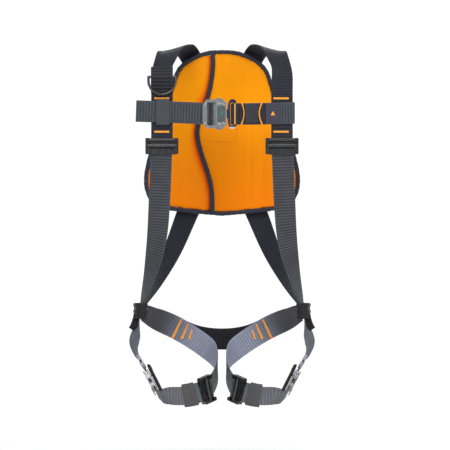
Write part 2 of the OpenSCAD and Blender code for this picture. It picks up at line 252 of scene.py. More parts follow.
def lining(name):
    """Bright orange pad cloth: a fine knit, deeper and redder low down, with a painted red shade strip beside
    the flap's edge.
    """
    s = Shader(name, Sheen_Weight=0.0, Specular_IOR_Level=0.12)
    x, y, z = s.split(s.here())
    slant = s.plus(z, s.times(x, 0.5))
    knit = s.times(s.wave(x, 1.4 * MM), s.wave(slant, 1.1 * MM))
    cloud = s.noise(s.here(), 9.0, 4.0)
    low = s.mix(cloud, (0.88, 0.185, 0.0), (0.93, 0.235, 0.0))
    high = s.mix(cloud, (0.95, 0.30, 0.0), (0.98, 0.345, 0.0))
    colour = s.mix(s.span(z, -0.21, 0.02), low, high)
    colour = s.mix(s.times(knit, 0.12), colour, (1.0, 0.42, 0.005))
    # painted shade: red where the overlapping flap shades the cloth beside its edge
    colour = s.mix(s.attribute("fold", "Fac"), colour, (0.90, 0.05, 0.002))
    s.set(Base_Color=colour, Roughness=s.span(cloud, 0.3, 0.7, 0.62, 0.8))
    s.bump(s.plus(knit, s.times(s.noise(s.here(), 700.0), 0.7)), 0.35, 0.00025)
    return s.material


def mesh_fabric(name):
    """Dark spacer mesh of the pad's rear."""
    s = Shader(name, Sheen_Weight=0.2, Sheen_Roughness=0.5)
    cells = s.node("ShaderNodeTexVoronoi", {"Vector": s.here(), "Scale": 330.0})
    hole = s.span(cells, 0.15, 0.5)
    cloud = s.noise(s.here(), 25.0)
    colour = s.mix(hole, (0.006, 0.007, 0.01), (0.05, 0.055, 0.075))
    s.set(Base_Color=s.mix(s.times(cloud, 0.4), colour, (0.03, 0.032, 0.045)))
    s.matt(cloud, 0.65, 0.85)
    s.bump(hole, 0.6, 0.0006)
    return s.material


def thread(name, dark, light):
    s = Shader(name, Roughness=0.5, Sheen_Weight=0.05, Sheen_Roughness=0.3, Specular_IOR_Level=0.25)
    twist = s.noise(s.here(), 1400.0, 2.0)
    cloud = s.noise(s.here(), 120.0)
    s.set(Base_Color=s.mix(s.times(s.plus(twist, cloud), 0.5), dark, light))
    s.bump(twist, 0.5, 0.0002)
    return s.material


def coated_metal(name, dark, light, rough=0.18):
    """Glossy black coating with fine orange peel, handling marks and slightly rubbed patches."""
    s = Shader(name, Metallic=0.0, Coat_Weight=0.6, Coat_Roughness=0.12, IOR=1.55)
    marks = s.noise(s.stretched(s.here(), (260, 260, 60)), 1.0, 5.0)
    cloud = s.noise(s.here(), 70.0)
    s.set(Base_Color=s.mix(s.span(cloud, 0.35, 0.75), dark, light))
    s.set(Roughness=s.span(marks, 0.3, 0.75, rough, rough + 0.25))
    s.bump(s.plus(s.noise(s.here(), 900.0), s.times(marks, 0.5)), 0.12, 0.0002)
    return s.material


def brushed(name, dark, light, grain=(900, 900, 40), rough=0.24):
    s = Shader(name, Metallic=1.0)
    lines = s.noise(s.stretched(s.here(), grain), 1.0, 5.0)
    cloud = s.noise(s.here(), 90.0)
    scratch = s.span(s.noise(s.stretched(s.here(), (50, 2200, 700)), 1.0, 2.0), 0.66, 0.7)
    share = s.plus(s.times(lines, 0.6), s.times(cloud, 0.4))
    s.set(Base_Color=s.mix(scratch, s.mix(share, dark, light), light))
    worn = s.span(lines, 0.25, 0.75, rough, rough + 0.2)
    s.set(Roughness=s.plus(worn, s.times(scratch, 0.1)))
    s.bump(s.plus(lines, scratch), 0.05, 0.0001)
    return s.material


def tongue_metal(name):
    """Dark blued steel, bright where the lower end has rubbed."""
    s = Shader(name, Metallic=0.85)
    z = s.split(s.here())[2]
    lines = s.noise(s.stretched(s.here(), (200, 200, 900)), 1.0, 4.0)
    dark = s.mix(lines, (0.018, 0.026, 0.04), (0.05, 0.065, 0.09))
    worn = s.span(s.plus(z, s.times(lines, 0.004)), -0.0315, -0.0285, 1.0, 0.0)
    s.set(Base_Color=s.mix(worn, dark, (0.7, 0.7, 0.74)), Roughness=s.span(lines, 0.3, 0.7, 0.28, 0.45))
    s.bump(lines, 0.15, 0.0002)
    return s.material


def knurled(name, dark, light):
    s = Shader(name, Metallic=0.9)
    x, y, z = s.split(s.here())
    left, right = s.plus(x, z), s.math("SUBTRACT", x, z)
    grid = s.times(s.wave(left, 1.7 * MM), s.wave(right, 1.7 * MM))
    cloud = s.noise(s.here(), 400.0)
    s.set(Base_Color=s.mix(s.plus(grid, s.times(cloud, 0.3)), dark, light))
    s.matt(cloud, 0.3, 0.5)
    s.bump(grid, 0.8, 0.0005)
    return s.material


def plastic(name, dark, light, rough=0.38):
    s = Shader(name, IOR=1.48)
    grain = s.noise(s.here(), 1100.0, 2.0)
    cloud = s.noise(s.here(), 45.0)
    s.set(Base_Color=s.mix(cloud, dark, light), Roughness=s.span(cloud, 0.3, 0.7, rough, rough + 0.16))
    s.bump(grain, 0.25, 0.0002)
    return s.material


def label_film(name):
    """A dark label with a faint printed grid."""
    s = Shader(name, Coat_Weight=0.2, Coat_Roughness=0.3)
    x, y, z = s.split(s.here())
    lines = s.math("MAXIMUM", s.wave(x, 3.2 * MM, 14.0), s.wave(z, 3.2 * MM, 14.0))
    cloud = s.noise(s.here(), 80.0)
    colour = s.mix(cloud, (0.010, 0.011, 0.024), (0.02, 0.022, 0.042))
    s.set(Base_Color=s.mix(s.times(lines, 0.4), colour, (0.07, 0.07, 0.12)))
    s.matt(cloud, 0.4, 0.6)
    s.bump(lines, 0.2, 0.0002)
    return s.material


def floor_paint(name):
    s = Shader(name)
    cloud = s.noise(s.here(), 3.0)
    s.set(Base_Color=s.mix(cloud, (0.80, 0.80, 0.80), (0.84, 0.84, 0.84)))
    s.matt(cloud, 0.7, 0.85)
    return s.material


# --- shapes


def unit(v):
    return np.asarray(v, float) / np.linalg.norm(v)


def lengths(rows):
    return np.linalg.norm(rows, axis=1)[:, None]


def spline(points, per_span=24):
    p = np.array(points, float)
    last = len(p) - 1
    made = []
    for i in range(last):
        a, b, c, d = p[max(i - 1, 0)], p[i], p[i + 1], p[min(i + 2, last)]
        for t in np.arange(per_span) / per_span:
            made.append(b + t / 2 * (c - a + t * (2 * a - 5 * b + 4 * c - d + t * (3 * (b - c) + d - a))))
    made.append(p[-1])
    return np.array(made)


def even(points, step):
    """The same line with its points step apart, and how far along it each one is."""
    gaps = np.linalg.norm(np.diff(points[:, : min(3, points.shape[1])], axis=0), axis=1)
    along = np.concatenate([[0], np.cumsum(gaps)])
    u = np.linspace(0, along[-1], max(2, round(along[-1] / step)) + 1)
    return u, np.column_stack([np.interp(u, along, column) for column in points.T])


def mirrored(points):
    """A route or a list of points on the other side of the trunk."""
    p = np.array(points, float)
    p[:, 0] *= -1
    if p.shape[1] == 6:
        p[:, 3] *= -1
    return p


def sided(points, side):
    return np.array(points, float) if side > 0 else mirrored(points)


def make_object(name, verts, faces, material, weave=None):
    """A smooth mesh from points in millimetres."""
    mesh = bpy.data.meshes.new(name)
    mesh.from_pydata((np.asarray(verts) * MM).tolist(), [], [list(map(int, f)) for f in faces])
    mesh.polygons.foreach_set("use_smooth", [True] * len(mesh.polygons))
    if weave is not None:
        data = np.array(weave, np.float32) * [MM, MM, 1]
        attribute = mesh.attributes.new("weave", "FLOAT_VECTOR", "POINT")
        attribute.data.foreach_set("vector", data.astype(np.float32).ravel())
    mesh.update()
    tidy = bmesh.new()
    tidy.from_mesh(mesh)
    bmesh.ops.recalc_face_normals(tidy, faces=tidy.faces)
    tidy.to_mesh(mesh)
    tidy.free()
    obj = bpy.data.objects.new(name, mesh)
    obj.data.materials.append(material)
    scene.collection.objects.link(obj)
    return obj


def swept(route, step, width, soften=0.0):
    """Points, half-width vectors and face normals along a route of six-number points."""
    u, s = even(spline(route), step)
    at, wide = s[:, :3], s[:, 3:]
    along = np.gradient(at, axis=0)
    along /= lengths(along)
    flat = wide - (wide * along).sum(1)[:, None] * along
    flat *= (np.linalg.norm(wide, axis=1) * width / 2 / np.linalg.norm(flat, axis=1))[:, None]
    if soften:
        reach = min(int(soften / step), len(u) // 4)
        kernel = np.hanning(2 * reach + 3)[1:-1]
        kernel /= kernel.sum()
        padded = np.pad(flat, ((reach, reach), (0, 0)), mode="edge")
        flat = np.column_stack([np.convolve(column, kernel, "valid") for column in padded.T])
        flat -= (flat * along).sum(1)[:, None] * along
    out = np.cross(along, flat)
    out /= lengths(out)
    return u, at, flat, out


def tape_profile(half_w, half_t, face_points):
    """A flat strap's section as (across, out) pairs, with rounded edges, starting on its inner face."""
    inner = half_w - half_t
    top = [(x, half_t) for x in np.linspace(inner, -inner, face_points)]
    turn = [math.pi / 2 + math.pi * k / 4 for k in range(1, 4)]
    left = [(-inner + half_t * math.cos(a), half_t * math.sin(a)) for a in turn]
    bottom = [(-x, -half_t) for x, _ in top]
    right = [(-x, -y) for x, y in left]
    return np.array(top + left + bottom + right)


def tube_faces(rings, size, closed_ends=True):
    faces = [
        (size * i + j, size * i + (j + 1) % size, size * (i + 1) + (j + 1) % size, size * (i + 1) + j)
        for i in range(rings - 1)
        for j in range(size)
    ]
    if closed_ends:
        faces += [tuple(range(size)), tuple(range(size * (rings - 1), size * rings))]
    return faces


def tape(name, route, material, width=45.0, thick=2.3, pitch=6.0, rib=0.16, step=1.0, wander=0.25, soften=0.0,
         facing=1, face_points=11):
    """Webbing along a route, with its ribs as real ridges."""
    u, at, flat, out = swept(route, step, width, soften)
    phase = RNG.uniform(0, 6.28, 3)
    drift = sum(np.sin(u / length + p) for length, p in zip((17, 31, 53), phase)) * wander / 3
    half = np.linalg.norm(flat, axis=1)
    verts, weave = [], []
    base = tape_profile(1.0, 0.0, face_points)
    size = len(base)
    for i in range(len(u)):
        section = tape_profile(half[i], thick / 2, face_points)
        inward = np.clip((half[i] - np.abs(section[:, 0])) / 2.5, 0, 1)
        height = section[:, 1] + np.sign(section[:, 1]) * rib * math.cos(2 * math.pi * u[i] / pitch) * inward
        height += drift[i] * (1 + 0.5 * section[:, 0] / half[i])
        points = at[i] + np.outer(section[:, 0] / half[i], flat[i]) + np.outer(height, out[i])
        verts.append(points)
        weave.append(np.column_stack([np.full(size, u[i]), section[:, 0], facing * np.sign(section[:, 1])]))
    return make_object(name, np.concatenate(verts), tube_faces(len(u), size), material, np.concatenate(weave))


def sleeve(name, route, material, outer, inner, step=1.5, pucker=0.25):
    """A woven tube round a strap; outer and inner are (width, thickness)."""
    u, at, flat, out = swept(route, step, 2.0)
    flat /= lengths(flat)
    loops = [tape_profile(w / 2, t / 2, 15) for w, t in (outer, inner)]
    size = len(loops[0])
    verts, weave = [], []
    for loop in loops:
        for i in range(len(u)):
            grow = 1 - 0.05 * math.exp(-min(u[i], u[-1] - u[i]) / 2.0) if loop is loops[0] else 1
            ripple = pucker * math.sin(u[i] / 2.3) * (loop is loops[0])
            height = loop[:, 1] * grow + np.sign(loop[:, 1]) * ripple
            verts.append(at[i] + np.outer(loop[:, 0], flat[i]) + np.outer(height, out[i]))
            weave.append(np.column_stack([np.full(size, u[i]), loop[:, 0], np.sign(loop[:, 1])]))
    rings = len(u)
    faces = tube_faces(rings, size, False)
    shift = rings * size
    faces += [tuple(shift + v for v in reversed(f)) for f in faces[:]]
    for start in (0, (rings - 1) * size):
        faces += [
            (start + j, start + (j + 1) % size, shift + start + (j + 1) % size, shift + start + j)
            for j in range(size)
        ]
    return make_object(name, np.concatenate(verts), faces, material, np.concatenate(weave))


def placed(c, along, across):
    """A frame at c: rows are its X along the strap, Y across it and Z out of the face."""
    x = unit(along)
    z = unit(np.cross(along, across))
    return np.array(c, float), np.array([x, np.cross(z, x), z])


def at_frame(place, points):
    c, axes = place
    return c + np.array(points, float) @ axes


def local_route(place, points, wide=1.0):
    """A route from (x, z) pairs in a frame's own plane, as wide as its Y."""
    c, axes = place
    at = at_frame(place, [(x, 0, z) for x, z in points])
    return np.column_stack([at, np.tile(axes[1] * wide, (len(at), 1))])


class Target:
    """Finds the foremost point of some pieces, seen along a line."""

    def __init__(self, *objects):
        verts, faces = [], []
        graph = bpy.context.evaluated_depsgraph_get()
        for obj in objects:
            mesh = obj.evaluated_get(graph).data
            shift = len(verts)
            verts += [v.co.copy() for v in mesh.vertices]
            faces += [tuple(shift + k for k in p.vertices) for p in mesh.polygons]
        self.tree = BVHTree.FromPolygons(verts, faces)

    def hit(self, x, z, toward=1.0):
        start = Vector((x * MM, -0.4 * toward, z * MM))
        spot, normal, _, _ = self.tree.ray_cast(start, Vector((0, toward, 0)))
        if spot is None:
            return None
        if normal.y * toward > 0:
            normal = -normal
        return np.array(spot) / MM, np.array(normal)


def on_surface(target, line, step, lift=0.0, toward=1.0):
    """A line of (x, z) pairs laid on a target: its points and normals."""
    _, s = even(np.array(line, float), step)
    found = [target.hit(x, z, toward) for x, z in s]
    found = [f for f in found if f is not None]
    at = np.array([f[0] for f in found])
    out = np.array([f[1] for f in found])
    kernel = np.ones(5) / 5
    if len(at) > 6:
        padded = np.pad(out, ((2, 2), (0, 0)), mode="edge")
        out = np.column_stack([np.convolve(padded[:, k], kernel, "valid") for k in range(3)])
        out /= lengths(out)
    return at + lift * out, out


def tack(name, target, line, widths, material, body, toward=1.0, height=0.9):
    """A raised bar of satin stitches along a line, from the first width to the last."""
    at, out = on_surface(target, line, 0.35, 0.15, toward)
    along = np.gradient(at, axis=0)
    along /= lengths(along)
    flat = np.cross(out, along)
    count = len(at)
    turn = np.arange(12) * 2 * math.pi / 12
    verts = []
    for i in range(count):
        share = i / (count - 1)
        half = (widths[0] + (widths[1] - widths[0]) * share) / 2 * (1 + 0.12 * (-1) ** (i // 2))
        half *= 1 + RNG.uniform(-0.06, 0.06)
        tall = height * (0.62 + 0.38 * (i % 2)) * min(1, 0.5 + 2 * min(share, 1 - share) * count / 8)
        verts.append(at[i] + np.outer(np.cos(turn) * half, flat[i]) + np.outer(np.sin(turn) * tall, out[i]))
    piece = make_object(name, np.concatenate(verts), tube_faces(count, 12), material)
    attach(piece, body)
    return piece


def stitches(name, target, lines, material, body, length=3.0, gap=1.4, radius=0.42, toward=1.0):
    """Rows of single stitches laid on a target, as one piece."""
    verts, faces = [], []
    turn = np.arange(6) * 2 * math.pi / 6
    for line in lines:
        at, out = on_surface(target, line, 0.5, 0.1, toward)
        per, pause = int(length / 0.5), int(gap / 0.5)
        for start in range(0, len(at) - per, per + pause):
            run, up = at[start : start + per + 1], out[start : start + per + 1]
            along = unit(run[-1] - run[0])
            shift = len(verts)
            for k, share in enumerate(np.linspace(0, 1, 5)):
                spot = run[0] + (run[-1] - run[0]) * share
                n = up[len(up) // 2]
                side = np.cross(n, along)
                r = radius * (0.35 + 0.65 * math.sin(math.pi * min(max(share, 0.12), 0.88)))
                ring = spot + np.outer(np.cos(turn) * r, side) + np.outer(np.sin(turn) * r, n)
                verts += ring.tolist()
            faces += [tuple(shift + v for v in f) for f in tube_faces(5, 6)]
    piece = make_object(name, verts, faces, material)
    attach(piece, body)
    return piece


def slab_piece(name, place, outline, z0, z1, material, side=1, bevel=0.4):
    """A thin plate with rounded edges, from an outline in a frame's own plane."""
    shape = bmesh.new()
    ring = [shape.verts.new((x, y, z0)) for x, y in outline]
    face = shape.faces.new(ring)
    raised = bmesh.ops.extrude_face_region(shape, geom=[face])
    for v in [g for g in raised["geom"] if isinstance(g, bmesh.types.BMVert)]:
        v.co.z = z1
    edges = [e for e in shape.edges if abs(e.verts[0].co.z - z1) < 1e-6 and abs(e.verts[1].co.z - z1) < 1e-6]
    bmesh.ops.bevel(shape, geom=edges, offset=bevel, segments=3, affect="EDGES", profile=0.5)
    points = at_frame(place, [tuple(v.co) for v in shape.verts])
    shape.verts.index_update()
    faces = [[v.index for v in f.verts] for f in shape.faces]
    shape.free()
    piece = make_object(name, sided(points, side), faces, material)
    shade_by_angle(piece)
    return piece


def rounded_rect(length, width, r, corner=6):
    points = []
    for sx, sy, start in ((1, 1, 0), (-1, 1, 90), (-1, -1, 180), (1, -1, 270)):
        for k in range(corner + 1):
            a = math.radians(start + 90 * k / corner)
            points.append((sx * (length / 2 - r) + r * math.cos(a), sy * (width / 2 - r) + r * math.sin(a)))
    return points


def shade_by_angle(piece, degrees=35):
    mesh = piece.data
    mesh.polygons.foreach_set("use_smooth", [True] * len(mesh.polygons))
    mesh.set_sharp_from_angle(angle=math.radians(degrees))


# --- routes in millimetres, as in the CAD

MAIN = [
    [-125, -106, -56, 1, 0, 0], [-125, -102, -38, 1, 0, 0], [-125, -101, 0, 1, 0, 0],
    [-125, -98, 45, 1, 0, 0], [-125, -88, 82, 0.95, 0.2, 0], [-118, -64, 113, 0.64, 0.68, 0.2],
    [-105, -26, 130, 0.78, 0.5, 0.25], [-89, 22, 136, 0.92, 0.2, 0.3], [-77, 74, 133, 0.92, 0, 0.38],
    [-64, 105, 115, 0.88, 0, 0.42], [-45, 107, 75, 0.9, 0, 0.42], [-20, 108, 12, 0.92, 0, 0.38],
    [0, 108, -33, 0.93, 0, 0.37], [30, 107, -110, 0.93, 0, 0.37], [55, 105, -170, 0.92, -0.05, 0.4],
    [75, 102, -216, 0.92, -0.1, 0.4], [104, 84, -288, 0.76, -0.45, 0.36],
    [135, 52, -350, 0.45, -0.8, 0.25], [160, 20, -394, 0.15, -0.85, 0.1], [170, 4, -412, 0.05, -0.8, 0.02],
]
LOWER = [
    [-125, -104, -66, 1, 0, 0], [-127, -104, -110, 1, 0, 0], [-130, -100, -180, 1, 0, 0],
    [-134, -86, -245, 0.95, -0.2, 0], [-141, -68, -295, 0.8, -0.5, 0],
    [-155, -42, -352, 0.45, -0.85, 0], [-167, -16, -395, 0.2, -0.85, 0], [-173, -3, -413, 0.05, -0.8, 0],
]
SEAT = [
    [-171, 8, -420, 0.1, 0.5, 0.5], [-155, 48, -425, 0, 0.1, 0.85], [-110, 90, -447, 0, 0, 0.98],
    [-55, 110, -471, 0, 0, 1], [0, 116, -478, 0, 0, 1], [55, 110, -471, 0, 0, 1],
    [110, 90, -447, 0, 0, 0.98], [155, 48, -425, 0, 0.1, 0.85], [171, 8, -420, 0.1, 0.5, 0.5],
]
THIGH = [
    [-168, -2, -423, 0.2, 0.4, 0.5], [-150, 26, -430, 0.25, 0.2, 0.85], [-130, 48, -438, 0.3, 0.1, 1],
    [-98, 70, -453, 0.42, 0, 0.98], [-60, 80, -476, 0.45, 0.1, 0.93], [-29, 66, -499, 0.4, 0, 0.9],
    [-12, 38, -523, 0.1, -0.5, 0.85], [-12, 4, -551, -0.1, -0.55, 0.8], [-28, -34, -577, -0.15, -0.2, 0.92],
    [-54, -58, -588, -0.1, 0.1, 0.94], [-82, -70, -593, 0, 0.2, 0.86], [-108, -72, -593, 0.1, -0.2, 0.82],
    [-123, -66, -595, 0.1, -0.6, 0.6], [-133, -59, -591, 0, -0.92, 0.3], [-139, -54, -582, -0.1, -0.97, 0.2],
]
HIP = [
    [-174, -2, -424, 0.05, -0.75, 0], [-179, -6, -446, 0.25, -0.9, 0.1], [-183, -13, -474, 0.5, -0.85, 0.12],
    [-180, -22, -496, 0.3, -0.92, 0.15], [-174, -32, -512, 0, -0.97, 0.2],
    [-168, -37, -524, -0.1, -0.97, 0.2],
]
CHEST_L = [
    [-179, -105, 1, 0, 0, 1], [-150, -106.5, 0, 0, 0, 1], [-90, -106.5, -2, 0, 0, 1],
    [-22, -106.5, -5, 0, 0, 1],
]
CHEST_R = [
    [21, -107, -5, 0, 0, 1], [60, -107, -5, 0, 0, 1], [110, -106, -4, 0, 0, 1], [141, -105.5, -3, 0, 0, 1],
    [148.5, -104, -3, 0, 0, 1], [150.5, -101, -3, 0, 0, 1], [148.5, -98, -3, 0, 0, 1],
    [141, -96.8, -3, 0, 0, 1], [112, -96, -3, 0, 0, 1],
]
STERNAL = [
    [36, -109, -5, 0, 0, 1], [43, -112, -5, 0, 0, 0.95], [50, -117, -5, 0, 0, 0.7],
    [62, -118.5, -5, 0, 0, 0.62], [75, -117, -5, 0, 0, 0.7], [82, -112, -5, 0, 0, 0.95],
    [90, -108.6, -5, 0, 0, 1],
]
PAD_LINE = [
    [0, 134], [-25, 133], [-48, 127], [-69, 117], [-87, 104], [-98, 89], [-106, 68], [-115, 38],
    [-124, 5], [-135, -30], [-150, -70], [-161, -110], [-165, -140], [-162, -165], [-150, -188],
    [-122, -203], [-67, -211], [0, -217],
]
FLAP_LINE = [
    [-22, 140], [-19, 115], [-20, 90], [-25, 55], [-34, 22], [-46, -8], [-52, -35], [-50, -60],
    [-42, -90], [-32, -120], [-24, -150], [-21, -180], [-21, -225],
]
VOXEL, CLOTH_FRAMES = 4.2, 20
PAD_RADIUS, PAD_REAR, REAR_THICK, FLAP_THICK, BINDING = 520.0, 102.0, 6.0, 8.0, 9.0
CHEST = placed((-15, -106.5, -5), (1, 0, 0), (0, 0, 1))
THIGH_BUCKLE = placed((-147, -49, -566), (-45, 25, 90), (0, 1, 0))
SLEEVE_SPAN = (-68, -64.3, -590.8)
COVER_TOP = 5.4
FLOOR_Z, FAR, BACK_EDGE = -720, 2500, 700


# --- back pad


def pad_y(x, depth):
    """How far back the pad's curve is, at depth in front of its rear face."""
    return PAD_REAR - PAD_RADIUS + np.sqrt((PAD_RADIUS - depth) ** 2 - np.asarray(x) ** 2)


def closed_outline(inset):
    """The pad's outline as seen from the front, drawn in by inset."""
    half = spline(PAD_LINE, 6)
    ring = np.concatenate([half, mirrored(half[1:-1])[::-1]])
    ahead = np.roll(ring, -1, 0) - np.roll(ring, 1, 0)
    inward = np.column_stack([-ahead[:, 1], ahead[:, 0]]) / lengths(ahead)
    centre = ring.mean(0)
    if ((centre - ring) * inward).sum() < 0:
        inward = -inward
    return ring + inset * inward


def flap_x(z):
    line = spline(FLAP_LINE, 8)[::-1]
    return np.interp(z, line[:, 1], line[:, 0])


def cut_at_flap(ring, side, gap):
    """The outline's part on one side of the flap's edge; side -1 is the left part."""
    limit = flap_x(ring[:, 1]) + side * gap
    keep = (ring[:, 0] - limit) * side > 0
    first = next(i for i in range(len(ring)) if keep[i] and not keep[i - 1])
    part = [ring[(first + k) % len(ring)] for k in range(len(ring)) if keep[(first + k) % len(ring)]]
    top, bottom = part[0][1], part[-1][1]
    heights = np.linspace(bottom, top, 60)[1:-1]
    edge = np.column_stack([flap_x(heights) + side * gap, heights])
    return np.concatenate([np.array(part), edge])


def pillow_mesh(name, ring, near, far, material):
    """A closed solid between two faces of the pad's curve, with a grid inside its outline."""
    low, high = ring.min(0), ring.max(0)
    grid = [
        Vector((x, z))
        for x in np.arange(low[0] + 3, high[0], 6.0)
        for z in np.arange(low[1] + 3, high[1], 6.0)
    ]
    count = len(ring)
    points = [Vector(p) for p in ring] + grid
    border = [(i, (i + 1) % count) for i in range(count)]
    made = delaunay_2d_cdt(points, border, [list(range(count))], 1, 1e-4)
    flat, faces = np.array([tuple(v) for v in made[0]]), [tuple(f) for f in made[2]]
    edges = {}
    for f in faces:
        for a, b in zip(f, f[1:] + f[:1]):
            edges[frozenset((a, b))] = edges.get(frozenset((a, b)), 0) + 1
    rim = [tuple(e) for e, times in edges.items() if times == 1]
    used = sorted({v for f in faces for v in f})
    index = {v: k for k, v in enumerate(used)}
    flat = flat[used]
    front = np.column_stack([flat[:, 0], pad_y(flat[:, 0], far), flat[:, 1]])
    back = np.column_stack([flat[:, 0], pad_y(flat[:, 0], near), flat[:, 1]])
    shift = len(flat)
    solid = [tuple(index[v] for v in f) for f in faces]
    solid += [tuple(shift + v for v in reversed(f)) for f in solid[:]]
    solid += [(index[a], index[b], shift + index[b], shift + index[a]) for a, b in rim]
    return make_object(name, np.concatenate([front, back]), solid, material)


def coords(mesh):
    flat = np.zeros(len(mesh.vertices) * 3, np.float32)
    mesh.vertices.foreach_get("co", flat)
    return flat.reshape(-1, 3).astype(float)


def baked(piece):
    """Swaps the piece's mesh for what its modifiers make of it."""
    graph = bpy.context.evaluated_depsgraph_get()
    mesh = bpy.data.meshes.new_from_object(piece.evaluated_get(graph))
    piece.modifiers.clear()
    piece.data = mesh


def distance_to(points, line):
    """From each (x, z) point to the nearest point of a line."""
    _, dense = even(np.array(line, float), 2.0)
    return np.array([np.sqrt(((dense - p) ** 2).sum(1)).min() for p in points])


def puff(piece, ring, seams, pressure, most):
    """Swells the piece with a cloth simulation, held along its outline and its seams."""
    remesh = piece.modifiers.new("voxels", "REMESH")
    remesh.mode, remesh.voxel_size = "VOXEL", VOXEL * MM
    baked(piece)
    start = coords(piece.data)
    plane = start[:, [0, 2]] / MM
    edge = distance_to(plane, np.concatenate([ring, ring[:1]]))
    pinned = np.clip(1 - (edge - 3.0) / 5.0, 0, 1)
    for seam in seams:
        pinned = np.maximum(pinned, np.clip(1 - (distance_to(plane, seam) - 2.0) / 4.0, 0, 1))
    group = piece.vertex_groups.new(name="hold")
    for i, share in enumerate(pinned):
        group.add([i], float(share), "REPLACE")
    cloth = piece.modifiers.new("cloth", "CLOTH")
    settings = cloth.settings
    settings.quality = 5
    settings.mass = 0.25
    settings.tension_stiffness = settings.compression_stiffness = 12
    settings.shear_stiffness, settings.bending_stiffness = 6, 0.4
    settings.use_pressure, settings.uniform_pressure_force = True, pressure
    settings.vertex_group_mass = "hold"
    settings.effector_weights.gravity = 0
    cloth.point_cache.frame_start, cloth.point_cache.frame_end = 1, CLOTH_FRAMES
    for number in range(1, CLOTH_FRAMES + 1):
        scene.frame_set(number)
    graph = bpy.context.evaluated_depsgraph_get()
    moved = coords(piece.evaluated_get(graph).data)
    piece.modifiers.clear()
    piece.vertex_groups.clear()
    scene.frame_set(1)
    step = moved - start
    far = np.linalg.norm(step, axis=1)
    step *= np.minimum(1, most * MM / np.maximum(far, 1e-9))[:, None]
    piece.data.vertices.foreach_set("co", (start + step).astype(np.float32).ravel())
    piece.data.update()
    rounder = piece.modifiers.new("round", "SUBSURF")
    rounder.levels = rounder.render_levels = 1
    baked(piece)
    piece.data.polygons.foreach_set("use_smooth", [True] * len(piece.data.polygons))


def crease(points, start, end, wide, deep):
    """How far a soft fold from start to end pushes points back, in millimetres."""
    a, b = np.array(start, float), np.array(end, float)
    share = np.clip(((points - a) @ (b - a)) / ((b - a) @ (b - a)), 0, 1)
    off = np.linalg.norm(points - (a + share[:, None] * (b - a)), axis=1)
    return deep * np.exp(-(off / wide) ** 2) * np.sin(math.pi * np.clip(share, 0.04, 0.96))


FOLDS = [
    ((-10, -205), (75, -85), 20, 2.2), ((30, -215), (120, -130), 14, 1.6), ((60, -40), (118, -95), 16, 1.4),
    ((5, 60), (70, 95), 22, -1.2), ((-95, -150), (-60, -60), 16, 1.6), ((-110, -60), (-75, 10), 13, 1.2),
]


def shape_front(piece, paints_flap_shade):
    """Soft folds in the front face, and the shaded strip beside the flap's edge."""
    mesh = piece.data
    at = coords(mesh)
    plane = at[:, [0, 2]] / MM
    facing = np.zeros(len(at) * 3, np.float32)
    mesh.vertices.foreach_get("normal", facing)
    front = np.clip(-facing.reshape(-1, 3)[:, 1], 0, 1)
    for start, end, wide, deep in FOLDS:
        at[:, 1] += crease(plane, start, end, wide, deep) * front * MM
    fold = np.zeros(len(at))
    if paints_flap_shade:
        # painted shade: how strongly the left flap's front is painted red beside the flap's edge, wider at
        # two heights
        gap = flap_x(plane[:, 1]) - plane[:, 0]
        reach = 12 + 9 * np.exp(-((plane[:, 1] - 22) / 22) ** 2) + 7 * np.exp(-((plane[:, 1] + 95) / 45) ** 2)
        fold = np.clip(1.3 - gap / reach, 0, 1) ** 1.2 * front * 0.85
        at[:, 1] += 2.2 * np.clip(1 - gap / 16, 0, 1) ** 1.5 * front * MM
    mesh.vertices.foreach_set("co", at.astype(np.float32).ravel())
    made = mesh.attributes.new("fold", "FLOAT", "POINT")
    made.data.foreach_set("value", fold.astype(np.float32))
    mesh.update()


def edge_tape(name, line, depth_near, depth_far, wide, material, closed):
    """Folded tape sewn over an edge: a rounded band that follows a line on the pad."""
    u, s = even(np.array(line, float), 2.5)
    if closed:
        s = s[:-1]
        ahead = np.roll(s, -1, 0) - np.roll(s, 1, 0)
    else:
        ahead = np.gradient(s, axis=0)
    ahead /= lengths(ahead)
    side = np.column_stack([-ahead[:, 1], ahead[:, 0]])
    turn = np.arange(20) * 2 * math.pi / 20
    power = 0.62
    across = np.sign(np.cos(turn)) * np.abs(np.cos(turn)) ** power
    depth = np.sign(np.sin(turn)) * np.abs(np.sin(turn)) ** power
    verts = []
    for i in range(len(s)):
        swell = 1 + 0.05 * math.sin(i * 1.3) + 0.03 * math.sin(i * 0.61 + 2)
        flat = s[i] + np.outer(across * wide / 2 * swell, side[i])
        middle, reach = (depth_near + depth_far) / 2, (depth_far - depth_near) / 2
        y = pad_y(flat[:, 0], middle + depth * reach)
        verts.append(np.column_stack([flat[:, 0], y, flat[:, 1]]))
    faces = tube_faces(len(s), 20, not closed)
    if closed:
        last = 20 * (len(s) - 1)
        faces += [(last + j, last + (j + 1) % 20, (j + 1) % 20, j) for j in range(20)]
    return make_object(name, np.concatenate(verts), faces, material)


